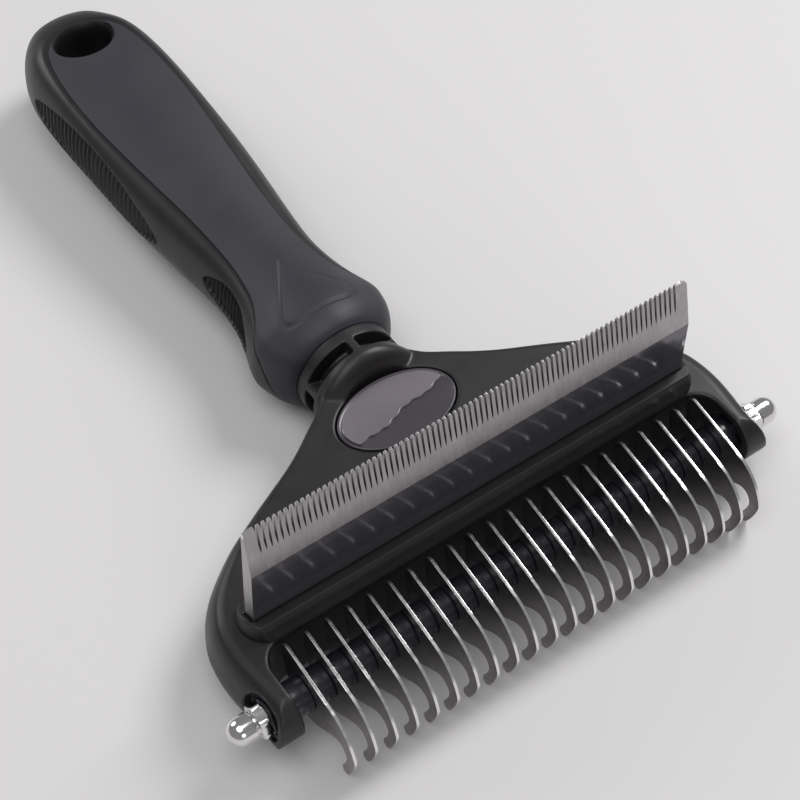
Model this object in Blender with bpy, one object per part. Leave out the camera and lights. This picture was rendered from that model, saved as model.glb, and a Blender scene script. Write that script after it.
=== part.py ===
"""Two-sided dematting comb: a rake of curved blades on an axle, and a straight shedding blade behind it.

Sizes are in millimetres from the rake's axle: x along the axle, y back along the handle, z up. `place`
turns them into metres on the surface that the comb lies on, under the middle of its box.
"""

import math

import bmesh
import bpy
from mathutils import Vector

METRE = 0.001
GAP = 0.3
SLIDING_GAP = 0.1

# Rake
RAKE_BLADES = 22
RAKE_PITCH = 4.949
RAKE_THICKNESS = 0.75
AXLE_RADIUS = 2.0
SPACER_RADIUS = 4.0

# Head
HEAD_TOP = 6.6
HEAD_BOTTOM = -7.0
HEAD_EDGE = 3.0
EAR_NOSE = 6.9
POCKET_HALF = 56.6
POCKET_BACK = 9.6
POCKET_CORNER = 5.5
EAR_SEAT = 61.0
SEAT_RADIUS = 5.4

# Neck and the tang that goes into the handle
NECK_RADIUS = 12.1
NECK_HEIGHT = 0.0
NECK_END = 63.2
WINDOW_START = 57.0
WINDOW_END = 60.4
WINDOW_DEPTH = 2.6
WINDOWS = 5
RIB_ANGLE = math.radians(13)
TANG_RADIUS = 6.5
TANG_END = 82.0
SLEEVE_RADIUS = 9.5
SLEEVE_END = 78.0

# Shedding blade and the holder that it stands in
TEETH = 80
TOOTH_PITCH = 1.27
SLOT_LENGTH = 6.85
SLOT_WIDTH = 0.56
BLADE_HALF = 53.75
BLADE_BACK = 17.0
BLADE_THICKNESS = 3.2
TIP_THICKNESS = 0.7
TOOTH_SET = 0.06
BLADE_FOOT = 4.4
CREASE = 25.3
BLADE_TOP = 36.7
HOLDER_HALF = 57.0
HOLDER_TOP = 10.4
STEM_HALF = 54.9
STEM_WALL = 1.9
STEM_FOOT = -1.0
SCREW_PLACE = 30.0
SCREW_RADIUS = 1.25
SCREW_HEAD_RADIUS = 2.4

# Badge
BADGE_PLACE = 42.5
BADGE_HALF_LENGTH = 14.6
BADGE_HALF_WIDTH = 9.1
BADGE_THICKNESS = 1.2

# Cap nuts and washers, M4
WASHER_RADIUS = 4.0
WASHER_THICKNESS = 0.7
NUT_FLATS = 7.0
HEX_THICKNESS = 2.3
NUT_NECK_RADIUS = 2.75
DOME_RADIUS = 3.1
NUT_END = 70.28
BORE_RADIUS = 2.3
BORE_DEPTH = 6.4

# Handle: the height of the edge between skin and core, and the hole to hang it by
PARTING_START = 5.6
PARTING_SLOPE = 0.043
PARTING_TURN = 85.0
HOLE_PLACE = 174.4
HOLE_HALF_WIDTH = 7.4
HOLE_HALF_LENGTH = 5.6
RING_POINTS = 40

# Across the handle at distances along it: half width, the shoulder's half width and height, top, bottom
HANDLE = (
    (63.5, 12.1, 8.6, 8.6, 12.1, -12.0),
    (64.7, 13.9, 9.8, 9.4, 13.1, -12.1),
    (67.2, 15.7, 11.1, 9.9, 14.0, -12.2),
    (70.5, 16.8, 11.9, 10.0, 14.3, -12.3),
    (74.0, 17.0, 12.1, 9.8, 14.0, -12.3),
    (80.0, 15.1, 10.6, 9.4, 12.9, -12.1),
    (86.0, 13.5, 9.4, 9.55, 12.2, -11.6),
    (93.0, 12.9, 8.45, 9.85, 11.7, -11.2),
    (101.0, 13.4, 8.3, 10.2, 11.7, -11.0),
    (112.0, 14.7, 8.9, 10.65, 12.1, -10.9),
    (124.0, 15.9, 10.0, 11.2, 12.8, -10.8),
    (136.0, 16.7, 11.2, 11.7, 13.4, -10.6),
    (148.0, 17.0, 12.1, 12.2, 13.8, -10.4),
    (160.0, 16.9, 12.1, 12.7, 14.1, -10.2),
    (170.0, 16.2, 10.8, 13.15, 14.2, -9.9),
    (177.0, 14.8, 9.0, 13.4, 14.1, -9.3),
    (182.5, 12.6, 6.0, 13.0, 13.5, -8.4),
    (186.6, 10.0, 4.6, 11.6, 12.1, -6.9),
    (189.3, 7.0, 3.2, 9.3, 9.8, -4.6),
    (190.9, 2.4, 1.2, 4.6, 5.0, -0.6),
)


def curve_through(points, steps):
    """A smooth open curve through the points, `steps` stretches between each two."""
    last = len(points) - 1
    made = []
    for span in range(last):
        near = [points[min(max(span + k, 0), last)] for k in (-1, 0, 1, 2)]
        for step in range(steps):
            t = step / steps
            weights = (
                (-t + 2 * t**2 - t**3) / 2,
                (2 - 5 * t**2 + 3 * t**3) / 2,
                (t + 4 * t**2 - 3 * t**3) / 2,
                (t**3 - t**2) / 2,
            )
            made.append(tuple(sum(w * p[i] for w, p in zip(weights, near)) for i in range(len(near[0]))))
    made.append(points[-1])
    return made


def circle(radius, points, centre=(0.0, 0.0)):
    turn = 2 * math.pi / points
    return [
        (centre[0] + radius * math.cos(k * turn), centre[1] + radius * math.sin(k * turn))
        for k in range(points)
    ]


def rake_outline():
    """(y, z) of a rake blade: its tail, its straight back, the curved beak and the hooked tip."""
    tail = [(7.9, 6.6), (7.3, 8.1), (6.1, 8.75)]
    beak = [(-7.4, 5.85), (-10.4, 5.0), (-13.2, 3.1), (-15.4, 0.3), (-16.7, -2.6), (-17.0, -4.6)]
    tip = [(-16.2, -7.9), (-14.9, -11.2), (-13.9, -12.4), (-12.9, -11.9), (-12.7, -10.4)]
    hollow = [(-13.9, -7.6), (-14.3, -5.0), (-13.1, -3.0), (-11.2, -2.6), (-8.8, -3.9), (-4.2, -7.6)]
    belly = [(-1.0, -8.8), (3.2, -7.6), (6.0, -3.6), (7.4, 1.4)]
    return tail + beak + tip + hollow + belly


RAKE_OUTLINE = rake_outline()
AXLE_HEIGHT = -min(z for _, z in RAKE_OUTLINE)
AXLE_FORWARD = (HANDLE[-1][0] + min(y for y, _ in RAKE_OUTLINE)) / 2


def place(x, y, z):
    return Vector((x, y - AXLE_FORWARD, z + AXLE_HEIGHT)) * METRE


def make_material(name, colour, roughness, metallic):
    material = bpy.data.materials.new(name)
    material.use_nodes = True
    shader = material.node_tree.nodes["Principled BSDF"]
    shader.inputs["Base Color"].default_value = (*colour, 1.0)
    shader.inputs["Roughness"].default_value = roughness
    shader.inputs["Metallic"].default_value = metallic
    return material


def make_object(name, bm, material, centre=(0.0, 0.0, 0.0)):
    """An object of the mesh, which is in millimetres around `centre`."""
    bmesh.ops.recalc_face_normals(bm, faces=bm.faces[:])
    bmesh.ops.scale(bm, vec=(METRE, METRE, METRE), verts=bm.verts[:])
    mesh = bpy.data.meshes.new(name)
    bm.to_mesh(mesh)
    bm.free()
    mesh.materials.append(material)
    mesh.shade_smooth()
    mesh.set_sharp_from_angle(angle=math.radians(35))
    return put(name, mesh, centre)


def put(name, mesh, centre):
    made = bpy.data.objects.new(name, mesh)
    bpy.context.scene.collection.objects.link(made)
    made.location = place(*centre)
    return made


def combine(target, operation, name, bm):
    """Cuts the mesh from the target, joins it to it, or keeps what both share."""
    cutter = make_object(name, bm, CUTTER)
    cutter.hide_render = True
    cutter.display_type = "WIRE"
    boolean = target.modifiers.new(name, "BOOLEAN")
    boolean.operation = operation
    boolean.object = cutter


def prism(outline, axis, low, high, holes=()):
    """An outline, in the two other coordinates in their order, extruded from low to high along the axis."""
    bm = bmesh.new()
    edges = []
    for loop in (outline, *holes):
        corners = []
        for point in loop:
            spot = list(point)
            spot.insert(axis, low)
            corners.append(bm.verts.new(spot))
        edges += [bm.edges.new(pair) for pair in zip(corners, corners[1:] + corners[:1])]
    bmesh.ops.triangle_fill(bm, use_beauty=True, edges=edges)
    grown = bmesh.ops.extrude_face_region(bm, geom=bm.faces[:])
    moved = [part for part in grown["geom"] if isinstance(part, bmesh.types.BMVert)]
    shift = Vector((0.0, 0.0, 0.0))
    shift[axis] = high - low
    bmesh.ops.translate(bm, verts=moved, vec=shift)
    return bm


def loft(rings):
    """A closed skin over rings of points, with the first and the last filled."""
    bm = bmesh.new()
    rows = [[bm.verts.new(point) for point in ring] for ring in rings]
    for row, after in zip(rows, rows[1:]):
        for k in range(len(row)):
            other = (k + 1) % len(row)
            bm.faces.new((row[k], row[other], after[other], after[k]))
    bm.faces.new(rows[0])
    bm.faces.new(rows[-1])
    return bm


def turned(profile, points, centre=(0.0, 0.0, 0.0), axis=0):
    """A solid of revolution: (distance along the axis, radius) at each step, around a centre."""
    rings = []
    for along, radius in profile:
        ring = []
        for a, b in circle(radius, points):
            spot = [a, b]
            spot.insert(axis, along)
            ring.append(Vector(spot) + Vector(centre))
        rings.append(ring)
    return loft(rings)


def neck_section(y, half_width, top, bottom, points=32):
    """An elliptical ring across the neck."""
    middle, half_height = (top + bottom) / 2, (top - bottom) / 2
    return [(half_width * a, y, middle + half_height * b) for a, b in circle(1.0, points)]


def handle_section(y, half_width, shoulder, shoulder_height, top, bottom):
    """A ring across the handle: a low crown between the shoulders, full sides and a round underside."""
    middle = widest_line(y)
    right = []
    for step in range(1, 5):
        x = shoulder * step / 4
        right.append((x, top - (top - shoulder_height) * (x / shoulder) ** 2))
    fall = 2 * (top - shoulder_height) / shoulder
    reach = 0.3 * (half_width - shoulder)
    hull = (
        (shoulder, shoulder_height),
        (shoulder + reach, shoulder_height - fall * reach),
        (half_width, middle + 0.55 * (shoulder_height - middle)),
        (half_width, middle),
    )
    for step in range(1, 6):
        t = step / 5
        weights = ((1 - t) ** 3, 3 * t * (1 - t) ** 2, 3 * t**2 * (1 - t), t**3)
        right.append(tuple(sum(w * point[i] for w, point in zip(weights, hull)) for i in (0, 1)))
    for step in range(1, 7):
        angle = math.radians(90 * step / 7)
        right.append(
            (half_width * math.cos(angle) ** 0.9, middle - (middle - bottom) * math.sin(angle) ** 0.9)
        )
    left = [(-x, z) for x, z in reversed(right)]
    return [(x, y, z) for x, z in [(0.0, top), *right, (0.0, bottom), *left]]


def widest_line(y):
    """Height of the handle's widest line: the neck's middle, a dip in the bulb, then a slow rise."""
    if y < 74:
        return NECK_HEIGHT - 0.8 * math.exp(-(((y - 74) / 8) ** 2))
    return 0.6 + 0.006 * (y - 74) - 1.4 * math.exp(-(((y - 74) / 14) ** 2))


def parting_height(y):
    return PARTING_START + PARTING_SLOPE * y


def parting_outline(lift, outside):
    """(y, z) around the core's share of the handle, `lift` over the parting line, out to `outside`."""
    bend = [(64.6, -14.0), (66.2, -7.0), (68.2, -0.6), (71.4, 4.6), (76.0, 7.4), (81.0, 8.7)]
    line = curve_through(bend + [(PARTING_TURN, parting_height(PARTING_TURN))], 3)
    line = [(y - lift, z + lift) for y, z in line] + [(PARTING_TURN + 3, parting_height(PARTING_TURN + 3) + lift)]
    line.append((205.0, parting_height(205.0) + lift))
    return line + [(205.0, outside), (line[0][0], outside)]


def clear_scene():
    for old in list(bpy.data.objects):
        bpy.data.objects.remove(old, do_unlink=True)


# Rake ------------------------------------------------------------------------------------------------


def blade_place(number):
    return (number - (RAKE_BLADES - 1) / 2) * RAKE_PITCH


def make_rake_blades():
    half = RAKE_THICKNESS / 2
    hole = circle(AXLE_RADIUS + SLIDING_GAP, 10)
    first = make_object("rake_blade_01", prism(RAKE_OUTLINE, 0, -half, half, [hole]), STEEL, (blade_place(0), 0, 0))
    for number in range(1, RAKE_BLADES):
        put(f"rake_blade_{number + 1:02d}", first.data, (blade_place(number), 0, 0))


def make_spacers():
    """A tube in each gap of the stack: between two blades, or between an ear and the outer blade."""
    faces = [-POCKET_HALF]
    for number in range(RAKE_BLADES):
        faces += [blade_place(number) - RAKE_THICKNESS / 2, blade_place(number) + RAKE_THICKNESS / 2]
    faces.append(POCKET_HALF)
    bore = circle(AXLE_RADIUS + SLIDING_GAP, 10)
    outside = circle(SPACER_RADIUS, 12)
    for number, (low, high) in enumerate(zip(faces[::2], faces[1::2]), 1):
        middle = (low + high) / 2
        half = (high - low) / 2 - SLIDING_GAP
        make_object(f"spacer_{number:02d}", prism(outside, 0, -half, half, [bore]), GLOSS_BLACK, (middle, 0, 0))


def make_axle():
    end = NUT_END - 3.2
    make_object("axle", turned([(-end, AXLE_RADIUS), (end, AXLE_RADIUS)], 16), ZINC)


def make_nut(side, name):
    """A cap nut with its washer, on one end of the axle; its origin is on the axle, at the washer's face."""
    washer_face = EAR_SEAT + SLIDING_GAP
    washer = prism(
        circle(WASHER_RADIUS, 18), 0, 0.0, side * WASHER_THICKNESS, [circle(AXLE_RADIUS + SLIDING_GAP, 12)]
    )
    make_object(f"washer_{name}", washer, GLOSS_BLACK, (side * washer_face, 0, 0))
    foot = washer_face + WASHER_THICKNESS + SLIDING_GAP
    length = NUT_END - foot
    corner = NUT_FLATS / math.sqrt(3)
    hexagon = [(corner * math.cos(math.radians(a)), corner * math.sin(math.radians(a))) for a in range(12, 372, 60)]
    nut = make_object(f"cap_nut_{name}", prism(hexagon, 0, 0.0, side * HEX_THICKNESS), CHROME, (side * foot, 0, 0))
    dome_start = length - DOME_RADIUS
    profile = [(HEX_THICKNESS - 0.5, NUT_NECK_RADIUS), (HEX_THICKNESS + 0.5, NUT_NECK_RADIUS)]
    profile += [(HEX_THICKNESS + 0.9, DOME_RADIUS), (dome_start, DOME_RADIUS)]
    for step in range(1, 6):
        angle = math.radians(90 * step / 5.4)
        profile.append((dome_start + DOME_RADIUS * math.sin(angle), DOME_RADIUS * math.cos(angle)))
    profile[-1] = (length, 0.9)
    dome = turned([(side * (foot + along), radius) for along, radius in profile], 18)
    combine(nut, "UNION", f"dome_{name}", dome)
    ends = [side * (foot - 1.0), side * (foot + BORE_DEPTH)]
    combine(nut, "DIFFERENCE", f"nut_bore_{name}", turned([(end, BORE_RADIUS) for end in ends], 16))


# Head ------------------------------------------------------------------------------------------------


def head_outline():
    """(x, y) around the head: straight across the ears' noses, round the corners and in to the neck."""
    side = [(61.6, -7.2), (62.5, 1.0), (63.4, 9.0), (63.1, 15.5), (61.4, 21.5), (56.8, 27.9), (48.8, 33.8)]
    side += [(39.3, 38.3), (29.0, 42.2), (20.6, 46.4), (15.6, 51.4), (12.6, 57.6)]
    right = curve_through(side, 2)
    return right + [(-x, y) for x, y in reversed(right)]


def head_side():
    """(y, z) of the head seen along the axle: a round nose about the axle, then flat to the neck."""
    nose = [math.radians(a) for a in range(107, 254, 12)]
    front = [(EAR_NOSE * math.cos(a), EAR_NOSE * math.sin(a)) for a in nose]
    return [(70.0, HEAD_TOP)] + [(-1.9, HEAD_TOP)] + front[1:-1] + [(-1.9, HEAD_BOTTOM), (70.0, HEAD_BOTTOM)]


def rounded_box(half, front, back, corner):
    """(x, y) of a box open to the front, with its two back corners rounded."""
    outline = [(-half, front), (half, front)]
    for start, centre in ((0, half - corner), (90, -half + corner)):
        for step in range(7):
            angle = math.radians(start + 15 * step)
            outline.append((centre + corner * math.cos(angle), back - corner + corner * math.sin(angle)))
    return outline


def long_slot(half, front, back, points=6):
    """(x, y) of a slot across the head with rounded ends."""
    radius = (back - front) / 2
    middle = (back + front) / 2
    outline = []
    for side, start in ((1, -90), (-1, 90)):
        for step in range(points + 1):
            angle = math.radians(start + 180 * step / points)
            outline.append((side * (half - radius) + radius * math.cos(angle), middle + radius * math.sin(angle)))
    return outline


def oval(half_length, half_width, y, points=40):
    return [
        (half_length * math.cos(2 * math.pi * k / points), y + half_width * math.sin(2 * math.pi * k / points))
        for k in range(points)
    ]


def neck_rings():
    stations = (
        (42.0, 17.0, 5.2, -5.6),
        (47.0, 15.6, 6.7, -6.6),
        (51.0, 14.0, 9.2, -8.6),
        (54.0, 12.7, 11.4, -10.8),
        (WINDOW_START, NECK_RADIUS, NECK_HEIGHT + NECK_RADIUS, NECK_HEIGHT - NECK_RADIUS),
        (NECK_END, NECK_RADIUS, NECK_HEIGHT + NECK_RADIUS, NECK_HEIGHT - NECK_RADIUS),
    )
    return [neck_section(*station) for station in stations]


def neck_window(number):
    """One of the windows round the neck, between two ribs, as (x, z) of a ring's sector."""
    pitch = 2 * math.pi / WINDOWS
    start = math.pi / 2 + number * pitch + RIB_ANGLE / 2
    angles = [start + (pitch - RIB_ANGLE) * step / 8 for step in range(9)]
    inner, outer = NECK_RADIUS - WINDOW_DEPTH, NECK_RADIUS + 1.5
    ring = [(outer * math.cos(a), NECK_HEIGHT + outer * math.sin(a)) for a in angles]
    return ring + [(inner * math.cos(a), NECK_HEIGHT + inner * math.sin(a)) for a in reversed(angles)]


def is_level(edge):
    return abs(edge.verts[0].co.z - edge.verts[1].co.z) < 0.1


def make_head():
    plate = prism(head_outline(), 2, HEAD_BOTTOM - 0.05, HEAD_TOP + 0.05)
    rims = [edge for edge in plate.edges if edge.calc_face_angle(0.0) > 1.2 and is_level(edge)]
    bmesh.ops.bevel(plate, geom=rims, offset=HEAD_EDGE, segments=3, profile=0.5, affect="EDGES")
    head = make_object("head_body", plate, BLACK)
    combine(head, "INTERSECT", "head_side_shape", prism(head_side(), 0, -80.0, 80.0))
    combine(head, "UNION", "neck_shape", loft(neck_rings()))
    tang = turned([(NECK_END - 1.0, TANG_RADIUS), (TANG_END, TANG_RADIUS)], 24, (0, 0, NECK_HEIGHT), axis=1)
    combine(head, "UNION", "tang_shape", tang)
    pocket = rounded_box(POCKET_HALF, -30.0, POCKET_BACK, POCKET_CORNER)
    combine(head, "DIFFERENCE", "pocket", prism(pocket, 2, -20.0, 20.0))
    slot = long_slot(STEM_HALF + GAP, stem_front() - GAP, stem_back() + GAP)
    combine(head, "DIFFERENCE", "holder_slot", prism(slot, 2, STEM_FOOT - GAP, 20.0))
    recess = oval(BADGE_HALF_LENGTH + GAP, BADGE_HALF_WIDTH + GAP, BADGE_PLACE)
    combine(head, "DIFFERENCE", "badge_recess", prism(recess, 2, HEAD_TOP - BADGE_THICKNESS - GAP, 20.0))
    bore = AXLE_RADIUS + SLIDING_GAP
    combine(head, "DIFFERENCE", "axle_bore", turned([(-90.0, bore), (90.0, bore)], 16))
    for number in range(WINDOWS):
        window = prism(neck_window(number), 1, WINDOW_START, WINDOW_END)
        combine(head, "DIFFERENCE", f"neck_window_{number + 1}", window)
    for side, name in ((-1, "left"), (1, "right")):
        seat = turned([(side * EAR_SEAT, SEAT_RADIUS), (side * 90.0, SEAT_RADIUS)], 24)
        combine(head, "DIFFERENCE", f"nut_seat_{name}", seat)
        middle = (side * SCREW_PLACE, (stem_front() + stem_back()) / 2, 0.0)
        depth = [(-20.0, SCREW_HEAD_RADIUS + GAP), (HEAD_BOTTOM + 2.2, SCREW_HEAD_RADIUS + GAP)]
        depth += [(HEAD_BOTTOM + 2.2, SCREW_RADIUS + SLIDING_GAP), (5.0, SCREW_RADIUS + SLIDING_GAP)]
        combine(head, "DIFFERENCE", f"screw_way_{name}", turned(depth, 16, middle, axis=2))


# Shedding blade --------------------------------------------------------------------------------------


def stem_front():
    return BLADE_BACK - BLADE_THICKNESS - SLIDING_GAP - STEM_WALL


def stem_back():
    return BLADE_BACK + SLIDING_GAP + STEM_WALL


def tooth_outline(left, right):
    """(x, z) over the top of a tooth, from the point of the slot on its left to that on its right."""
    foot = BLADE_TOP - SLOT_LENGTH
    side, narrow = SLOT_WIDTH / 2, SLOT_WIDTH / 2 - 0.06
    return [
        (left, foot),
        (left + narrow, foot + 1.3),
        (left + side, BLADE_TOP - 0.28),
        (left + side + 0.2, BLADE_TOP),
        (right - side - 0.2, BLADE_TOP),
        (right - side, BLADE_TOP - 0.28),
        (right - narrow, foot + 1.3),
        (right, foot),
    ]


def make_shedding_blade():
    """A steel bar whose front is ground to a bevel, with slots cut between its teeth."""
    foot = BLADE_TOP - SLOT_LENGTH
    slots = [(number - TEETH / 2) * TOOTH_PITCH for number in range(TEETH + 1)]
    outlines = [tooth_outline(left, right) for left, right in zip(slots, slots[1:])]
    end = [(slots[-1], foot)] + tooth_outline(slots[-1], BLADE_HALF)[1:4]
    end += [(BLADE_HALF - 1.1, BLADE_TOP), (BLADE_HALF, BLADE_TOP - 1.6), (BLADE_HALF, foot)]
    outlines.append(end)
    outlines.insert(0, [(-x, z) for x, z in reversed(end)])
    front_foot = BLADE_BACK - BLADE_THICKNESS
    lean = (BLADE_THICKNESS - TIP_THICKNESS) / (BLADE_TOP - CREASE)
    bm = bmesh.new()
    corners = {}

    def corner(x, y, z):
        key = (round(x, 4), round(y, 4), round(z, 4))
        if key not in corners:
            corners[key] = bm.verts.new((x, y, z))
        return corners[key]

    def front(x, z):
        return corner(x, front_foot + (z - CREASE) * lean + TOOTH_SET * (z - foot) / SLOT_LENGTH, z)

    def back(x, z):
        return corner(x, BLADE_BACK - TOOTH_SET * (z - foot) / SLOT_LENGTH, z)

    for outline in outlines:
        bm.faces.new([front(x, z) for x, z in outline])
        bm.faces.new([back(x, z) for x, z in outline])
        for (x, z), (other_x, other_z) in zip(outline, outline[1:]):
            bm.faces.new((front(x, z), front(other_x, other_z), back(other_x, other_z), back(x, z)))
    roots = [-BLADE_HALF] + slots + [BLADE_HALF]
    near = [corner(x, front_foot, z) for z in (CREASE, BLADE_FOOT) for x in (-BLADE_HALF, BLADE_HALF)]
    far = [corner(x, BLADE_BACK, BLADE_FOOT) for x in (-BLADE_HALF, BLADE_HALF)]
    bm.faces.new([front(x, foot) for x in roots] + [near[1], near[0]])
    bm.faces.new([back(x, foot) for x in roots] + [far[1], far[0]])
    bm.faces.new((near[0], near[1], near[3], near[2]))
    bm.faces.new((near[2], near[3], far[1], far[0]))
    for k, x in enumerate((-BLADE_HALF, BLADE_HALF)):
        bm.faces.new((front(x, foot), near[k], near[k + 2], far[k], back(x, foot)))
    bmesh.ops.triangulate(bm, faces=bm.faces[:], ngon_method="EAR_CLIP")
    make_object("shedding_blade", bm, STEEL)


def make_holder():
    """A bar over the head with a stem down into it, slotted from above for the blade's foot."""
    low = HEAD_TOP + GAP
    crown = [(POCKET_BACK + 0.5, low), (20.6, low), (20.6, 8.0), (19.2, 9.0), (BLADE_BACK + 0.9, 9.3)]
    crown += [(BLADE_BACK, 9.6), (13.6, HOLDER_TOP), (12.7, HOLDER_TOP), (12.1, HOLDER_TOP - 0.4)]
    holder = make_object("blade_holder", prism(crown, 0, -HOLDER_HALF, HOLDER_HALF), BLACK)
    plan = long_slot(HOLDER_HALF, POCKET_BACK - 0.2, 21.2, 8)
    combine(holder, "INTERSECT", "holder_plan", prism(plan, 2, 0.0, 20.0))
    stem = long_slot(STEM_HALF, stem_front(), stem_back())
    combine(holder, "UNION", "holder_stem", prism(stem, 2, STEM_FOOT, low + 0.6))
    half = BLADE_HALF + SLIDING_GAP
    slot = [(-half, stem_front() + STEM_WALL), (half, stem_front() + STEM_WALL)]
    slot += [(half, BLADE_BACK + SLIDING_GAP), (-half, BLADE_BACK + SLIDING_GAP)]
    combine(holder, "DIFFERENCE", "blade_slot", prism(slot, 2, BLADE_FOOT - SLIDING_GAP, 20.0))
    middle = (stem_front() + stem_back()) / 2
    for side, name in ((-1, "left"), (1, "right")):
        pilot = turned([(-5.0, 1.35), (3.4, 1.35)], 16, (side * SCREW_PLACE, middle, 0.0), axis=2)
        combine(holder, "DIFFERENCE", f"screw_pilot_{name}", pilot)
        foot = HEAD_BOTTOM + 0.3
        seat = HEAD_BOTTOM + 2.1
        profile = [(foot, SCREW_HEAD_RADIUS - 0.4), (foot + 0.5, SCREW_HEAD_RADIUS), (seat, SCREW_HEAD_RADIUS)]
        profile += [(seat, SCREW_RADIUS), (3.0, SCREW_RADIUS)]
        screw = turned(profile, 16, (side * SCREW_PLACE, middle, 0.0), axis=2)
        make_object(f"holder_screw_{name}", screw, ZINC)


def make_badge():
    top = HEAD_TOP - 0.05
    badge = prism(oval(BADGE_HALF_LENGTH, BADGE_HALF_WIDTH, BADGE_PLACE), 2, top - BADGE_THICKNESS, top)
    make_object("badge", badge, BADGE_GREY)


# Handle ----------------------------------------------------------------------------------------------


def handle_body():
    return loft([handle_section(*station) for station in curve_through(HANDLE, 2)])


def make_handle():
    hole = [(x, y) for x, y in oval(HOLE_HALF_WIDTH, HOLE_HALF_LENGTH, HOLE_PLACE, 32)]
    core = make_object("handle_core", handle_body(), BLACK)
    combine(core, "INTERSECT", "core_share", prism(parting_outline(0.0, -30.0), 0, -40.0, 40.0))
    sleeve = [(NECK_END + 0.9, SLEEVE_RADIUS), (SLEEVE_END, SLEEVE_RADIUS)]
    combine(core, "UNION", "core_sleeve", turned(sleeve, 32, (0, 0, NECK_HEIGHT), axis=1))
    socket = [(NECK_END - 5.0, TANG_RADIUS + GAP), (TANG_END + GAP, TANG_RADIUS + GAP)]
    combine(core, "DIFFERENCE", "tang_socket", turned(socket, 24, (0, 0, NECK_HEIGHT), axis=1))
    combine(core, "DIFFERENCE", "core_hole", prism(hole, 2, -30.0, 30.0))
    skin = make_object("handle_skin", handle_body(), SLATE)
    combine(skin, "INTERSECT", "skin_share", prism(parting_outline(GAP / 2, 30.0), 0, -40.0, 40.0))
    bore = [(NECK_END - 5.0, SLEEVE_RADIUS + GAP), (SLEEVE_END + GAP, SLEEVE_RADIUS + GAP)]
    combine(skin, "DIFFERENCE", "skin_bore", turned(bore, 32, (0, 0, NECK_HEIGHT), axis=1))
    combine(skin, "DIFFERENCE", "skin_hole", prism(hole, 2, -30.0, 30.0))


clear_scene()
CUTTER = make_material("cutter", (1.0, 0.2, 0.2), 0.8, 0.0)
STEEL = make_material("steel", (0.52, 0.51, 0.52), 0.30, 1.0)
CHROME = make_material("chrome", (0.80, 0.80, 0.80), 0.12, 1.0)
ZINC = make_material("zinc", (0.55, 0.55, 0.56), 0.35, 1.0)
BLACK = make_material("black_plastic", (0.018, 0.017, 0.018), 0.42, 0.0)
GLOSS_BLACK = make_material("gloss_black", (0.012, 0.012, 0.014), 0.15, 0.0)
SLATE = make_material("slate_rubber", (0.050, 0.049, 0.056), 0.55, 0.0)
BADGE_GREY = make_material("badge_grey", (0.070, 0.066, 0.075), 0.25, 0.0)
make_rake_blades()
make_spacers()
make_axle()
make_nut(-1, "left")
make_nut(1, "right")
make_head()
make_holder()
make_shedding_blade()
make_badge()
make_handle()
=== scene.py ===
"""The looks of the dematting comb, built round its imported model.

Sizes are in millimetres from the rake's axle: x along the axle, y back along the handle, z up. `set_down`
turns them into metres in the frame's own space.
"""

import math

import bmesh
import bpy
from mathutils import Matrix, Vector


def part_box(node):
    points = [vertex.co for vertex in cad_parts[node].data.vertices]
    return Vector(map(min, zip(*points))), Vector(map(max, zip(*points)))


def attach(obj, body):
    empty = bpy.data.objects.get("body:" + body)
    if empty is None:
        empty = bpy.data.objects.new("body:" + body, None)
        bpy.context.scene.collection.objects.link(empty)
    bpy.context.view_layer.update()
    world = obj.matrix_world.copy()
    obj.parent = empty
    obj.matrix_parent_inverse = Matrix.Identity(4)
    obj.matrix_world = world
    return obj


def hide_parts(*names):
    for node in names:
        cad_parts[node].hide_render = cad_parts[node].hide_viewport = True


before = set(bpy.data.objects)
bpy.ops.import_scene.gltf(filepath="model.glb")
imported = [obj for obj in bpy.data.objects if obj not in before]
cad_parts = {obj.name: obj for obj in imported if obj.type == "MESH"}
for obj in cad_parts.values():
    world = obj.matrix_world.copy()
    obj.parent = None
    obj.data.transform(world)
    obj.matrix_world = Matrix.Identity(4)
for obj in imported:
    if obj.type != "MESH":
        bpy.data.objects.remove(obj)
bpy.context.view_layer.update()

MM = 0.001
AXLE_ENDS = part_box("axle")
AXLE = (AXLE_ENDS[0] + AXLE_ENDS[1]) / 2

# Camera: where it looks, its turn and rise in degrees, and its distance
CAMERA_TARGET = (4.7, 48.0, 0.0)
CAMERA_TURN = 35.39
CAMERA_RISE = 52.62
CAMERA_DISTANCE = 436.3
CAMERA_LENS = 90.0
SENSOR_WIDTH = 36.0

# Studio: colours, sizes in metres and light
FLOOR_DARK = (0.70, 0.688, 0.695)
FLOOR_LIGHT = (0.712, 0.70, 0.706)
FLOOR_HALF = 3.0
SKY_COLOUR = (1.0, 0.985, 0.99, 1.0)
SKY_STRENGTH = 0.24

# Rake
RAKE_BLADES = 22
RAKE_PITCH = 4.949
RAKE_THICKNESS = 0.64
EDGE_BREAK = 0.07
SPACER_RADIUS = 4.0

# Head
HEAD_TOP = 6.6
HEAD_BOTTOM = -7.0
EAR_NOSE = 6.9
POCKET_HALF = 56.6
POCKET_BACK = 9.6
POCKET_SLOPE = 0.075
POCKET_CORNER = 5.5
LIP = 0.7
EAR_SEAT = 61.0
SEAT_RADIUS = 5.4
HEAD_VOXEL = 0.28
MOULD_SMOOTHING = 3

# Neck
NECK_RADIUS = 12.1
NECK_END = 63.4
WINDOW_START = 57.0
WINDOW_END = 60.4
WINDOW_DEPTH = 3.8
WINDOWS = 5
RIB_ANGLE = math.radians(9)

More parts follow.
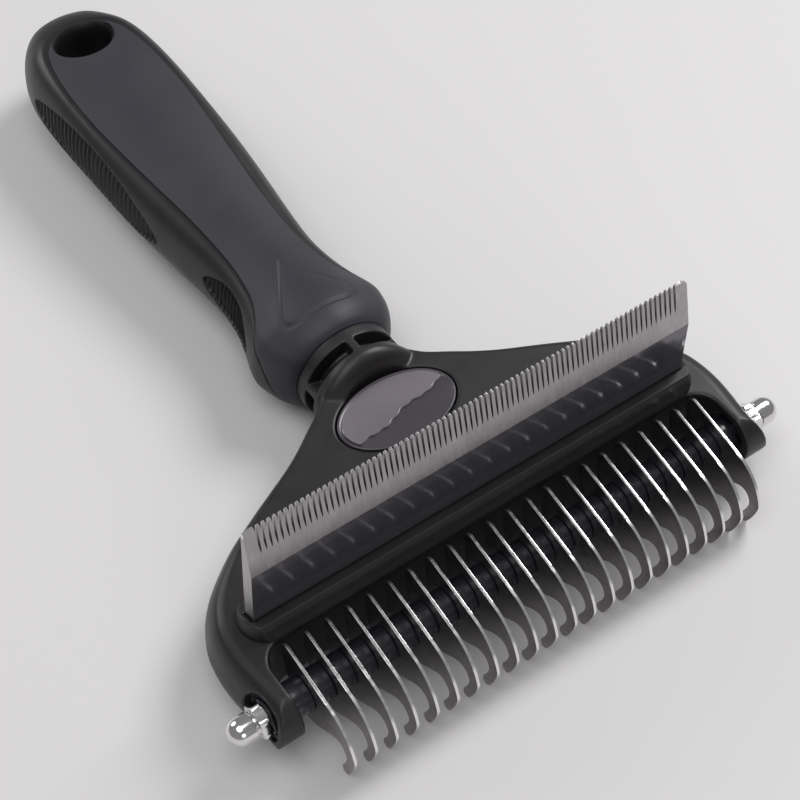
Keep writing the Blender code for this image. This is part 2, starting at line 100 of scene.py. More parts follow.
# Shedding blade and its holder
TEETH = 80
TOOTH_PITCH = 1.27
SLOT_LENGTH = 6.85
SLOT_WIDTH = 0.56
TOOTH_ROUND = 0.32
END_CORNER = 1.3
BLADE_HALF = 53.75
BLADE_BACK = 17.0
BLADE_THICKNESS = 3.2
TIP_THICKNESS = 0.6
BLADE_FOOT = 4.6
CREASE = 25.3
BLADE_TOP = 36.7
HOLDER_HALF = 57.0
HOLDER_TOP = 10.4
HOLDER_FRONT = 9.4
HOLDER_REAR = 21.2
HOLDER_VOXEL = 0.26
LEFT_END_FLARE = 1.1
RIGHT_END_GROWTH = 0.4
SCREW_PLACE = 30.0
SCREW_WAY_RADIUS = 2.7

# Badge
BADGE_PLACE = 42.5
BADGE_HALF_LENGTH = 14.2
BADGE_HALF_WIDTH = 8.85
FILM_COLUMNS = 160
FILM_ROWS = 60

# Nuts
WASHER_RADIUS = 4.0
WASHER_THICKNESS = 0.7
NUT_FLATS = 7.0
HEX_THICKNESS = 2.3
NUT_NECK_RADIUS = 2.75
DOME_RADIUS = 3.1
NUT_END = 70.28
NUT_BORE = 2.1
NUT_CLEARANCE = 0.1

# Handle
PARTING_START = 5.6
PARTING_SLOPE = 0.043
PARTING_GAP = 0.16
HOLE_PLACE = 174.4
HOLE_HALF_WIDTH = 6.9
HOLE_HALF_LENGTH = 5.1
RING_STEP = 0.25
EDGE_TUCK = 0.22
EDGE_DROP = 0.02
UNDERSIDE_POWER = 0.9
PAD_GROOVE = 0.34

# Ribbed recesses: from and to along the handle, pitch of the ribs, distance below the skin's edge, height
RECESSES = ((117.0, 171.5, 1.75, 2.4, 13.5), (78.0, 100.0, 1.5, 2.0, 9.5))

# Across the handle at distances along it: half width, the shoulder's half width and height, top, bottom
HANDLE = (
    (63.5, 12.1, 8.6, 8.6, 12.1, -12.0),
    (64.7, 13.9, 9.8, 9.4, 13.1, -12.1),
    (67.2, 15.7, 11.1, 9.9, 14.0, -12.2),
    (70.5, 16.8, 11.9, 10.0, 14.3, -12.3),
    (74.0, 17.0, 12.1, 9.8, 14.0, -12.3),
    (80.0, 15.1, 10.6, 9.4, 12.9, -12.1),
    (86.0, 13.5, 9.4, 9.55, 12.2, -11.6),
    (93.0, 12.9, 8.45, 9.85, 11.7, -11.2),
    (101.0, 13.4, 8.3, 10.2, 11.7, -11.0),
    (112.0, 14.7, 8.9, 10.65, 12.1, -10.9),
    (124.0, 15.9, 10.0, 11.2, 12.8, -10.8),
    (136.0, 16.7, 11.2, 11.7, 13.4, -10.6),
    (148.0, 17.0, 12.1, 12.2, 13.8, -10.4),
    (160.0, 17.1, 12.1, 12.7, 14.1, -10.2),
    (170.0, 16.8, 10.8, 13.15, 14.2, -9.9),
    (177.0, 15.6, 9.0, 13.2, 13.9, -9.3),
    (182.5, 13.4, 6.0, 12.5, 13.0, -8.4),
    (186.6, 10.6, 4.6, 10.8, 11.3, -6.9),
    (189.3, 7.2, 3.2, 8.2, 8.7, -4.6),
    (190.9, 2.4, 1.2, 3.8, 4.2, -0.6),
)


# Curves and meshes -------------------------------------------------------------------------------------


def curve_through(points, steps):
    """A smooth open curve through the points, `steps` stretches between each two."""
    last = len(points) - 1
    made = []
    for span in range(last):
        near = [points[min(max(span + k, 0), last)] for k in (-1, 0, 1, 2)]
        for step in range(steps):
            t = step / steps
            weights = (
                (-t + 2 * t**2 - t**3) / 2,
                (2 - 5 * t**2 + 3 * t**3) / 2,
                (t + 4 * t**2 - 3 * t**3) / 2,
                (t**3 - t**2) / 2,
            )
            made.append(tuple(sum(w * p[i] for w, p in zip(weights, near)) for i in range(len(near[0]))))
    made.append(points[-1])
    return made


def ramp(value, low, high):
    """0 below low, 1 above high, and smooth between them."""
    t = min(max((value - low) / (high - low), 0.0), 1.0)
    return t * t * (3 - 2 * t)


def between(value, rows):
    """The rows' second numbers read off at `value`, straight between their first ones."""
    for (low, first), (high, second) in zip(rows, rows[1:]):
        if value <= high:
            return first + (second - first) * max(value - low, 0.0) / (high - low)
    return rows[-1][1]


def circle(radius, points, centre=(0.0, 0.0)):
    turn = 2 * math.pi / points
    return [
        (centre[0] + radius * math.cos(k * turn), centre[1] + radius * math.sin(k * turn))
        for k in range(points)
    ]


def oval(half_length, half_width, y, points=96):
    return [(half_length * a, y + half_width * b) for a, b in circle(1.0, points)]


def loft(rings):
    """A skin over rings of points, with the first and the last ring filled."""
    bm = bmesh.new()
    rows = [[bm.verts.new(point) for point in ring] for ring in rings]
    for row, after in zip(rows, rows[1:]):
        for k in range(len(row)):
            other = (k + 1) % len(row)
            bm.faces.new((row[k], row[other], after[other], after[k]))
    bm.faces.new(rows[0])
    bm.faces.new(rows[-1])
    return bm


def prism(outline, axis, low, high):
    """An outline, in the two other coordinates in their order, extruded from low to high along the axis."""
    rings = []
    for level in (low, high):
        ring = []
        for point in outline:
            spot = list(point)
            spot.insert(axis, level)
            ring.append(spot)
        rings.append(ring)
    return loft(rings)


def turned(profile, points, centre=(0.0, 0.0, 0.0), axis=0):
    """A solid of revolution: (distance along the axis, radius) at each step, around a centre."""
    rings = []
    for along, radius in profile:
        ring = []
        for a, b in circle(radius, points):
            spot = [a, b]
            spot.insert(axis, along)
            ring.append(Vector(spot) + Vector(centre))
        rings.append(ring)
    return loft(rings)


def inset(side, distances):
    """An outline's right side, front to back, moved inwards by a distance at each point."""
    moved = []
    for k, point in enumerate(side):
        before, after = side[max(k - 1, 0)], side[min(k + 1, len(side) - 1)]
        run = Vector((after[0] - before[0], after[1] - before[1])).normalized()
        moved.append((point[0] - run.y * distances[k], point[1] + run.x * distances[k]))
    return moved


def helper(bm):
    """A plain object of the mesh, for the modifiers to work on."""
    bmesh.ops.recalc_face_normals(bm, faces=bm.faces[:])
    mesh = bpy.data.meshes.new("helper")
    bm.to_mesh(mesh)
    bm.free()
    made = bpy.data.objects.new("helper", mesh)
    bpy.context.scene.collection.objects.link(made)
    return made


def carved(bm, steps, voxel=0.0, smoothing=0):
    """The mesh after each Boolean step, remeshed to rounded moulded edges where a voxel size is given."""
    base = helper(bm)
    others = []
    for operation, other in steps:
        others.append(helper(other))
        boolean = base.modifiers.new("cut", "BOOLEAN")
        boolean.operation = operation
        boolean.object = others[-1]
    if voxel:
        remesh = base.modifiers.new("remesh", "REMESH")
        remesh.mode = "VOXEL"
        remesh.voxel_size = voxel
        smooth = base.modifiers.new("smooth", "SMOOTH")
        smooth.factor = 0.5
        smooth.iterations = smoothing
    graph = bpy.context.evaluated_depsgraph_get()
    mesh = bpy.data.meshes.new_from_object(base.evaluated_get(graph))
    made = bmesh.new()
    made.from_mesh(mesh)
    bpy.data.meshes.remove(mesh)
    for other in (base, *others):
        data = other.data
        bpy.data.objects.remove(other, do_unlink=True)
        bpy.data.meshes.remove(data)
    return made


def set_down(name, bm, materials, angle=35, centre=(0.0, 0.0, 0.0)):
    """An object of the mesh, moved from millimetres around `centre` to the frame's metres."""
    bmesh.ops.recalc_face_normals(bm, faces=bm.faces[:])
    for vert in bm.verts:
        vert.co = AXLE + (vert.co + Vector(centre)) * MM
    mesh = bpy.data.meshes.new(name)
    bm.to_mesh(mesh)
    bm.free()
    for material in materials:
        mesh.materials.append(material)
    mesh.shade_smooth()
    mesh.set_sharp_from_angle(angle=math.radians(angle))
    made = bpy.data.objects.new(name, mesh)
    bpy.context.scene.collection.objects.link(made)
    return made


def declare(made, nodes, body="root"):
    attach(made, body)
    if nodes:
        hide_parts(*nodes)


# Materials ---------------------------------------------------------------------------------------------


def new_material(name, colour, roughness, metallic=0.0):
    """A Principled material, with its node tree and its shader."""
    material = bpy.data.materials.new(name)
    material.use_nodes = True
    tree = material.node_tree
    shader = tree.nodes["Principled BSDF"]
    shader.inputs["Base Color"].default_value = (*colour, 1.0)
    shader.inputs["Roughness"].default_value = roughness
    shader.inputs["Metallic"].default_value = metallic
    return material, tree, shader


def noise_of(tree, scale, detail=3.0, stretch=(1.0, 1.0, 1.0)):
    """Noise in object space; scale is in waves a metre, stretched along an axis by a factor under 1."""
    place = tree.nodes.new("ShaderNodeTexCoord")
    mapping = tree.nodes.new("ShaderNodeMapping")
    mapping.inputs["Scale"].default_value = stretch
    noise = tree.nodes.new("ShaderNodeTexNoise")
    noise.inputs["Scale"].default_value = scale
    noise.inputs["Detail"].default_value = detail
    tree.links.new(place.outputs["Object"], mapping.inputs["Vector"])
    tree.links.new(mapping.outputs["Vector"], noise.inputs["Vector"])
    return noise.outputs["Fac"]


def spread(tree, value, low, high):
    """The noise's middle range turned into a number from low to high."""
    node = tree.nodes.new("ShaderNodeMapRange")
    node.inputs["From Min"].default_value = 0.3
    node.inputs["From Max"].default_value = 0.7
    node.inputs["To Min"].default_value = low
    node.inputs["To Max"].default_value = high
    tree.links.new(value, node.inputs["Value"])
    return node.outputs["Result"]


def tint(tree, shader, value, first, second):
    """The base colour runs from first to second with the noise."""
    node = tree.nodes.new("ShaderNodeMix")
    node.data_type = "RGBA"
    node.inputs[6].default_value = (*first, 1.0)
    node.inputs[7].default_value = (*second, 1.0)
    tree.links.new(spread(tree, value, 0.0, 1.0), node.inputs[0])
    tree.links.new(node.outputs[2], shader.inputs["Base Color"])


def roughen(tree, shader, value, low, high):
    tree.links.new(spread(tree, value, low, high), shader.inputs["Roughness"])


def bump(tree, shader, value, strength, depth):
    """Relief of the given depth in metres."""
    node = tree.nodes.new("ShaderNodeBump")
    node.inputs["Strength"].default_value = strength
    node.inputs["Distance"].default_value = depth
    tree.links.new(value, node.inputs["Height"])
    tree.links.new(node.outputs["Normal"], shader.inputs["Normal"])


def plastic(name, dark, light, rough_low, rough_high, grain, depth, coat=0.0):
    """Moulded plastic: a fine grain, uneven gloss and a slight drift in its colour."""
    material, tree, shader = new_material(name, dark, rough_high)
    tint(tree, shader, noise_of(tree, 60.0, 4.0), dark, light)
    roughen(tree, shader, noise_of(tree, 140.0, 4.0), rough_low, rough_high)
    bump(tree, shader, noise_of(tree, grain, 2.0), 0.6, depth)
    shader.inputs["Coat Weight"].default_value = coat
    shader.inputs["Coat Roughness"].default_value = 0.06
    return material


def rubber(name, dark, light):
    """Soft-touch skin: matt, with a velvet sheen and a very fine grain."""
    material, tree, shader = new_material(name, dark, 0.5)
    tint(tree, shader, noise_of(tree, 45.0, 5.0), dark, light)
    roughen(tree, shader, noise_of(tree, 90.0, 4.0), 0.46, 0.56)
    bump(tree, shader, noise_of(tree, 5200.0, 2.0), 0.55, 0.00003)
    shader.inputs["Sheen Weight"].default_value = 0.015
    shader.inputs["Sheen Roughness"].default_value = 0.5
    shader.inputs["Specular IOR Level"].default_value = 0.42
    return material


def metal(name, dark, light, rough_low, rough_high, stretch, depth, brushing=2600.0, metallic=1.0):
    """Metal with fine lines: the stretch is small along the lines and 1 across them."""
    material, tree, shader = new_material(name, dark, rough_high, metallic)
    lines = noise_of(tree, brushing, 2.0, stretch)
    tint(tree, shader, noise_of(tree, brushing * 0.6, 3.0, stretch), dark, light)
    roughen(tree, shader, noise_of(tree, brushing * 0.3, 3.0, stretch), rough_low, rough_high)
    bump(tree, shader, lines, 0.5, depth)
    return material


# Rake --------------------------------------------------------------------------------------------------


def rake_outline():
    """(y, z) of a rake blade: its tail, its straight back, the curved beak and the hooked tip."""
    tail = [(7.4, 1.4), (7.9, 6.6), (7.3, 8.1), (6.1, 8.75)]
    beak = [(-7.4, 5.85), (-10.4, 5.0), (-13.2, 3.1), (-15.4, 0.3), (-16.7, -2.6), (-17.0, -4.6)]
    tip = [(-16.2, -7.9), (-14.9, -11.2), (-13.9, -12.4)]
    point = [(-13.9, -12.4), (-12.9, -11.9), (-12.7, -10.4)]
    hollow = [(-12.7, -10.4), (-13.9, -7.6), (-14.3, -5.0), (-13.1, -3.0)]
    hollow += [(-11.2, -2.6), (-8.8, -3.9), (-4.2, -7.6)]
    belly = [(-4.2, -7.6), (-1.0, -8.8), (3.2, -7.6), (6.0, -3.6), (7.4, 1.4)]
    outline = curve_through(tail, 8)
    for stretch in (beak + tip, point, hollow, belly):
        outline += curve_through(stretch, 6)[1 if stretch[0] == outline[-1] else 0:]
    return outline[:-1]


def blade_place(number):
    return (number - (RAKE_BLADES - 1) / 2) * RAKE_PITCH


def make_rake_blades():
    half = RAKE_THICKNESS / 2
    for number in range(RAKE_BLADES):
        bm = prism(rake_outline(), 0, -half, half)
        rims = [edge for edge in bm.edges if abs(edge.verts[0].co.x - edge.verts[1].co.x) < 1e-6]
        bmesh.ops.bevel(bm, geom=rims, offset=EDGE_BREAK, segments=2, profile=0.5, affect="EDGES")
        # The edge faces take the lighter steel, a painted highlight; the side faces take the darker steel,
        # painted shade.
        for face in bm.faces:
            face.material_index = int(abs(face.normal.x) < 0.95)
        made = set_down(
            f"rake_blade_look_{number + 1:02d}", bm, (RAKE_SIDE_SHADE, RAKE_EDGE_HIGHLIGHT), 40, (blade_place(number), 0, 0)
        )
        declare(made, [f"rake_blade_{number + 1:02d}"])


def make_spacers():
    """A turned ring in each gap of the stack, with rounded ends."""
    faces = [-POCKET_HALF]
    for number in range(RAKE_BLADES):
        faces += [blade_place(number) - RAKE_THICKNESS / 2, blade_place(number) + RAKE_THICKNESS / 2]
    faces.append(POCKET_HALF)
    for number, (low, high) in enumerate(zip(faces[::2], faces[1::2]), 1):
        length = high - low - 0.04
        start = low + 0.02
        profile = [(start, 2.0), (start, SPACER_RADIUS - 0.35)]
        for step in range(1, 5):
            angle = math.radians(22.5 * step)
            profile.append(
                (start + 0.35 * (1 - math.cos(angle)), SPACER_RADIUS - 0.35 + 0.35 * math.sin(angle))
            )
        mirrored = [(2 * start + length - along, radius) for along, radius in reversed(profile)]
        made = set_down(f"spacer_look_{number:02d}", turned(profile + mirrored, 48), (GLOSS,), 50)
        declare(made, [f"spacer_{number:02d}"])


def hex_radius(angle, flats):
    """How far a hexagon's side is from its middle in this direction."""
    turn = (angle - math.radians(12)) % math.radians(60) - math.radians(30)
    return flats / 2 / math.cos(turn)


def nut_ring(along, radius, side, points=120):
    """A ring of the nut: a hexagon where `radius` is wider than its sides, else a circle."""
    ring = []
    for k in range(points):
        angle = 2 * math.pi * k / points
        reach = min(hex_radius(angle, NUT_FLATS), radius)
        ring.append((side * along, reach * math.cos(angle), reach * math.sin(angle)))
    return ring


def make_nut(side, name):
    """A cap nut and the washer under it, on one end of the axle."""
    face = EAR_SEAT + NUT_CLEARANCE
    edge = 0.15
    rim = WASHER_THICKNESS + face
    profile = [(face, NUT_BORE), (face, WASHER_RADIUS - edge), (face + edge, WASHER_RADIUS)]
    profile += [(rim - edge, WASHER_RADIUS), (rim, WASHER_RADIUS - edge), (rim, NUT_BORE)]
    washer = set_down(f"washer_look_{name}", turned([(side * a, r) for a, r in profile], 64), (GLOSS,), 30)
    declare(washer, [f"washer_{name}"], f"washer_{name}")
    foot = rim + NUT_CLEARANCE
    corner = NUT_FLATS / math.sqrt(3)
    top = foot + HEX_THICKNESS
    shape = [(foot, NUT_BORE), (foot, corner - 0.45), (foot + 0.26, corner + 0.01)]
    shape += [(top - 0.3, corner + 0.01), (top - 0.12, corner - 0.28), (top, NUT_FLATS / 2 - 0.12)]
    shape += [(top + 0.02, NUT_NECK_RADIUS + 0.25), (top + 0.1, NUT_NECK_RADIUS + 0.02)]
    shape += [(top + 0.45, NUT_NECK_RADIUS), (top + 0.62, DOME_RADIUS - 0.12), (top + 0.8, DOME_RADIUS)]
    start = NUT_END - DOME_RADIUS
    shape.append((start, DOME_RADIUS))
    for step in range(1, 15):
        angle = math.radians(6 * step)
        shape.append((start + DOME_RADIUS * math.sin(angle), DOME_RADIUS * math.cos(angle)))
    shape.append((NUT_END, 0.1))
    nut = set_down(f"cap_nut_look_{name}", loft([nut_ring(a, r, side) for a, r in shape]), (CHROME,), 24)
    declare(nut, [f"cap_nut_{name}"], f"cap_nut_{name}")


# Head --------------------------------------------------------------------------------------------------


def head_edge():
    """(x, y) along the head's right side: from the ear's nose round the corner and in to the neck."""
    side = [(62.3, -14.0), (62.5, -7.2), (63.1, 1.0), (63.9, 9.0), (63.6, 15.5), (62.0, 21.2)]
    side += [(57.6, 27.8), (49.4, 34.0), (40.6, 38.4), (29.2, 43.5), (24.0, 46.4), (19.3, 49.6)]
    side += [(14.4, 53.0), (11.0, 57.0)]
    return curve_through(side, 6)


def head_plate():
    """The plate with its moulded side: a soft shoulder at the top, fullest low down, and a tucked-in foot."""
    profile = [(4.6, 6.6), (3.0, 6.05), (1.9, 4.9), (1.0, 3.1), (0.4, 0.9), (0.0, -1.5)]
    profile += [(0.0, -3.5), (0.5, -5.3), (1.6, -6.6), (2.6, -7.0)]
    edge = head_edge()
    rings = []
    for reach, height in reversed(curve_through(profile, 3)):
        shares = [1.0 - 0.68 * ramp(y, 26.0, 46.0) for _, y in edge]
        right = [(x, y, height) for x, y in inset(edge, [reach * share for share in shares])]
        rings.append(right + [(-x, y, z) for x, y, z in reversed(right)])
    return loft(rings)


def head_side():
    """(y, z) of the head seen along the axle: a round nose about the axle, then flat to the neck."""
    nose = [math.radians(a) for a in range(104, 257, 4)]
    front = [(EAR_NOSE * math.cos(a), EAR_NOSE * math.sin(a)) for a in nose]
    above = [(70.0, 9.0), (3.0, 9.0), (0.0, HEAD_TOP + 0.3)]
    return above + front + [(0.0, HEAD_BOTTOM - 0.2), (70.0, -9.0)]


def rounded_box(half, front, back, corner):
    """(x, y) of a box open to the front, with its two back corners rounded."""
    outline = [(-half, front), (half, front)]
    for start, centre in ((0, half - corner), (90, -half + corner)):
        for step in range(19):
            angle = math.radians(start + 5 * step)
            outline.append((centre + corner * math.cos(angle), back - corner + corner * math.sin(angle)))
    return outline


def long_slot(half, front, back, points=18):
    """(x, y) of a slot across the head with rounded ends."""
    radius = (back - front) / 2
    middle = (back + front) / 2
    outline = []
    for side, start in ((1, -90), (-1, 90)):
        for step in range(points + 1):
            angle = math.radians(start + 180 * step / points)
            x = side * (half - radius) + radius * math.cos(angle)
            outline.append((x, middle + radius * math.sin(angle)))
    return outline


def neck_rings():
    """The neck: a shoulder that swells out of the plate into a round barrel."""
    stations = [
        (38.0, 18.4, 4.6, -5.2),
        (42.0, 17.4, 5.2, -5.6),
        (46.0, 16.8, 5.8, -6.6),
        (49.6, 15.9, 7.0, -8.4),
        (51.9, 15.0, 9.2, -9.8),
        (53.6, 14.0, 11.2, -11.0),
        (55.2, 12.9, 12.1, -11.9),
        (57.0, NECK_RADIUS, NECK_RADIUS, -NECK_RADIUS),
        (NECK_END, NECK_RADIUS, NECK_RADIUS, -NECK_RADIUS),
    ]
    rings = []
    for y, half_width, top, bottom in curve_through(stations, 5):
        middle, half_height = (top + bottom) / 2, (top - bottom) / 2
        rings.append([(half_width * a, y, middle + half_height * b) for a, b in circle(1.0, 96)])
    return rings


def neck_window(number):
    """One of the windows round the neck, between two ribs, as (x, z) of a ring's sector."""
    pitch = 2 * math.pi / WINDOWS
    start = math.pi / 2 + number * pitch + RIB_ANGLE / 2
    angles = [start + (pitch - RIB_ANGLE) * step / 24 for step in range(25)]
    inner, outer = NECK_RADIUS - WINDOW_DEPTH, NECK_RADIUS + 1.5
    ring = [(outer * math.cos(a), outer * math.sin(a)) for a in angles]
    return ring + [(inner * math.cos(a), inner * math.sin(a)) for a in reversed(angles)]


def pocket_cutter():
    """The rake's bay, with a soft lip round its upper edge and a rear wall that comes forward lower down."""
    levels = [(-20.0, 0.0), (HEAD_BOTTOM - 0.1, 0.0), (HEAD_TOP - LIP, 0.0)]
    for step in range(1, 7):
        angle = math.radians(15 * step)
        levels.append((HEAD_TOP - LIP + LIP * math.sin(angle), LIP * (1 - math.cos(angle))))
    levels.append((20.0, LIP))
    rings = []
    for height, grow in levels:
        back = POCKET_BACK + grow - POCKET_SLOPE * max(HEAD_TOP - max(height, HEAD_BOTTOM), 0.0)
        outline = rounded_box(POCKET_HALF + grow, -30.0, back, POCKET_CORNER + grow)
        rings.append([(x, y, height) for x, y in outline])
    return loft(rings)


def badge_recess():
    rings = []
    for height, grow in ((HEAD_TOP - 1.4, 0.4), (HEAD_TOP - 0.3, 0.4), (HEAD_TOP + 0.1, 0.6), (20.0, 0.6)):
        outline = oval(BADGE_HALF_LENGTH + grow, BADGE_HALF_WIDTH + grow, BADGE_PLACE)
        rings.append([(x, y, height) for x, y in outline])
    return loft(rings)


def make_head():
    steps = [("INTERSECT", prism(head_side(), 0, -80.0, 80.0)), ("UNION", loft(neck_rings()))]
    steps += [("DIFFERENCE", pocket_cutter()), ("DIFFERENCE", badge_recess())]
    steps += [("DIFFERENCE", prism(neck_window(k), 1, WINDOW_START, WINDOW_END)) for k in range(WINDOWS)]
    middle = BLADE_BACK - BLADE_THICKNESS / 2
    for side in (-1, 1):
        seat = [(EAR_SEAT, SEAT_RADIUS), (64.0, SEAT_RADIUS), (70.0, SEAT_RADIUS + 0.3)]
        steps.append(("DIFFERENCE", turned([(side * along, radius) for along, radius in seat], 64)))
        recess = [(POCKET_HALF - 3.0, 5.0), (POCKET_HALF + 0.8, 5.0)]
        steps.append(("DIFFERENCE", turned([(side * along, radius) for along, radius in recess], 64)))
        way = [(-20.0, SCREW_WAY_RADIUS), (HEAD_BOTTOM + 2.2, SCREW_WAY_RADIUS)]
        steps.append(("DIFFERENCE", turned(way, 48, (side * SCREW_PLACE, middle, 0.0), axis=2)))
    head = carved(head_plate(), steps, HEAD_VOXEL, MOULD_SMOOTHING)
    declare(set_down("head_look", head, (BLACK,), 80), ["head_body"])


# Shedding blade ----------------------------------------------------------------------------------------


def slot_flank(slot, side):
    """(x, z) from a slot's point up one flank; side is the slot's half width, with a sign."""
    foot = BLADE_TOP - SLOT_LENGTH
    return [(slot, foot), (slot + side * 0.5, foot + 0.9), (slot + side * 0.8, foot + 2.4)]


def tooth_outline(left, right):
    """(x, z) over the top of a tooth, from the point of the slot on its left to that on its right."""
    side = SLOT_WIDTH / 2
    outline = slot_flank(left, side)
    flat = (right - left) / 2 - side
    for step in range(9):
        angle = math.radians(180 - 22.5 * step)
        x = (left + right) / 2 + flat * math.cos(angle)
        outline.append((x, BLADE_TOP - TOOTH_ROUND + TOOTH_ROUND * math.sin(angle)))
    return outline + slot_flank(right, -side)[::-1]


def make_shedding_blade():
    """A bevelled steel bar with slots between its teeth, its left end flaring to the foot."""
    foot = BLADE_TOP - SLOT_LENGTH
    slots = [(number - TEETH / 2) * TOOTH_PITCH for number in range(TEETH + 1)]
    outlines = [tooth_outline(left, right) for left, right in zip(slots, slots[1:])]
    side = SLOT_WIDTH / 2
    end = slot_flank(slots[-1], side)
    end += [(slots[-1] + side, BLADE_TOP - 0.3), (slots[-1] + side + 0.25, BLADE_TOP)]
    for step in range(7):
        angle = math.radians(15 * step)
        x = BLADE_HALF - END_CORNER * (1 - math.sin(angle))
        end.append((x, BLADE_TOP - END_CORNER * (1 - math.cos(angle))))
    end.append((BLADE_HALF, foot))
    outlines.append(end)
    outlines.insert(0, [(-x, z) for x, z in reversed(end)])
    front_foot = BLADE_BACK - BLADE_THICKNESS
    lean = (BLADE_THICKNESS - TIP_THICKNESS) / (BLADE_TOP - CREASE)
    bm = bmesh.new()
    corners = {}

    def corner(x, y, z):
        key = (round(x, 4), round(y, 4), round(z, 4))
        if key not in corners:
            corners[key] = bm.verts.new((x, y, z))
        return corners[key]

    def front(x, z):
        return corner(x, front_foot + (z - CREASE) * lean, z)

    def back(x, z):
        return corner(x, BLADE_BACK, z)

    for outline in outlines:
        bm.faces.new([front(x, z) for x, z in outline])
        bm.faces.new([back(x, z) for x, z in outline])
        for (x, z), (other_x, other_z) in zip(outline, outline[1:]):
            wall = bm.faces.new((front(x, z), front(other_x, other_z), back(other_x, other_z), back(x, z)))
            # Walls near the teeth's tops take the lighter steel, a painted highlight.
            wall.material_index = 2 if min(z, other_z) > BLADE_TOP - 1.4 else 0
    roots = [-BLADE_HALF] + slots + [BLADE_HALF]
    near = [corner(x, front_foot, z) for z in (CREASE, BLADE_FOOT) for x in (-BLADE_HALF, BLADE_HALF)]
    far = [corner(x, BLADE_BACK, BLADE_FOOT) for x in (-BLADE_HALF, BLADE_HALF)]
    bm.faces.new([front(x, foot) for x in roots] + [near[1], near[0]])
    bm.faces.new([back(x, foot) for x in roots] + [far[1], far[0]])
    # The polished band's dark colour is a painted reflection of the black parts in front of it.
    band = bm.faces.new((near[0], near[1], near[3], near[2]))
    band.material_index = 1
    bm.faces.new((near[2], near[3], far[1], far[0]))
    for k, x in enumerate((-BLADE_HALF, BLADE_HALF)):
        bm.faces.new((front(x, foot), near[k], near[k + 2], far[k], back(x, foot)))
    for vert in bm.verts:
        if vert.co.x < 1 - BLADE_HALF:
            vert.co.x -= LEFT_END_FLARE * ramp(BLADE_TOP - vert.co.z, 0.0, BLADE_TOP - BLADE_FOOT - 4)
        elif vert.co.x > BLADE_HALF - 0.2:
            vert.co.x += RIGHT_END_GROWTH
    made = set_down("shedding_blade_look", bm, (BRUSHED, MIRROR_DARK_REFLECTION, TIP_HIGHLIGHT), 20)
    declare(made, ["shedding_blade"])


def make_holder():
    """A bar along the head with rounded ends, holding the blade in a slot."""
    low = HEAD_TOP - 0.4
    front_wall = [(HOLDER_FRONT + 2.0, HOLDER_TOP), (HOLDER_FRONT + 1.4, 9.2), (HOLDER_FRONT + 0.9, 7.9)]
    crown = [(HOLDER_FRONT, low), (21.2, low), (21.0, 7.4), (20.2, 8.3), (19.0, 8.9), (BLADE_BACK + 0.9, 9.2)]
    crown += [(BLADE_BACK, 9.6), (BLADE_BACK - 1.0, 10.0), (13.8, HOLDER_TOP)] + front_wall
    plan = []
    for height, grow in ((-5.0, 0.0), (7.6, 0.0), (9.0, 0.5), (HOLDER_TOP, 1.0), (20.0, 1.3)):
        outline = long_slot(HOLDER_HALF - grow, HOLDER_FRONT - 0.2, HOLDER_REAR + 0.2)
        plan.append([(x, y, height) for x, y in outline])
    half = BLADE_HALF + 1.35
    slot = [(-half, BLADE_BACK - BLADE_THICKNESS - 0.12), (half - 0.8, BLADE_BACK - BLADE_THICKNESS - 0.12)]
    slot += [(half - 0.8, BLADE_BACK + 0.12), (-half, BLADE_BACK + 0.12)]
    steps = [("INTERSECT", loft(plan)), ("DIFFERENCE", prism(slot, 2, 3.0, 20.0))]
    holder = carved(prism(crown, 0, -60.0, 60.0), steps, HOLDER_VOXEL, MOULD_SMOOTHING)
    declare(set_down("blade_holder_look", holder, (BLACK,), 80), ["blade_holder"])


def crease_place(x):
    """Where the film's wavy crease lies across the badge, at a place along it."""
    return BADGE_PLACE - 1.4 + 0.22 * x + 0.45 * math.sin(0.5 * x + 0.6) + 0.16 * math.sin(1.9 * x)


def make_badge():
    """A flat oval inlay with a raised rim, and a film lifted a little over its rear half, light grey as a
    painted reflection.
    """
    rings = []
    for grow, height in ((0.0, -1.2), (0.0, -0.14), (0.12, -0.02), (0.32, 0.0), (0.55, -0.05), (0.7, -0.16)):
        outline = oval(BADGE_HALF_LENGTH - grow, BADGE_HALF_WIDTH - grow, BADGE_PLACE)
        rings.append([(x, y, HEAD_TOP + height) for x, y in outline])
    declare(set_down("badge_look", loft(rings), (BADGE,), 40), ["badge"])
    rings = []
    for i in range(1, FILM_COLUMNS):
        x = (BADGE_HALF_LENGTH - 0.9) * math.sin(math.pi * (i / FILM_COLUMNS - 0.5))
        reach = (BADGE_HALF_WIDTH - 0.9) * math.sqrt(1 - (x / (BADGE_HALF_LENGTH - 0.9)) ** 2)
        top = []
        for j in range(FILM_ROWS + 1):
            crease = max(crease_place(x), BADGE_PLACE - reach)
            y = crease + (BADGE_PLACE + reach - crease) * j / FILM_ROWS
            lift = 0.10 + 0.16 * math.exp(-(((y - crease - 0.35) / 0.3) ** 2))
            fade = ramp(BADGE_PLACE + reach - y, 0.0, 0.8) * ramp(y - crease, -0.2, 0.3)
            top.append((x, y, HEAD_TOP + 0.02 + lift * fade))
        rings.append(top + [(x, y, HEAD_TOP - 0.08) for x, y, z in reversed(top)])
    declare(set_down("badge_film_look", loft(rings), (FILM_AND_REFLECTION,), 60), [])


# Handle ------------------------------------------------------------------------------------------------


def widest_line(y):
    """Height of the handle's widest line: the neck's middle, a dip in the bulb, then a slow rise."""
    if y < 74:
        return -0.8 * math.exp(-(((y - 74) / 8) ** 2))
    return 0.6 + 0.006 * (y - 74) - 1.4 * math.exp(-(((y - 74) / 14) ** 2))


def parting_height(y):
    """Height of the edge between skin and core at this distance along the handle."""
    bend = [(64.6, -14.0), (66.2, -7.0), (68.2, -0.6), (71.4, 4.6), (76.0, 7.4), (81.0, 8.7), (85.0, 9.255)]
    return PARTING_START + PARTING_SLOPE * y if y > 85.0 else between(y, curve_through(bend, 8))


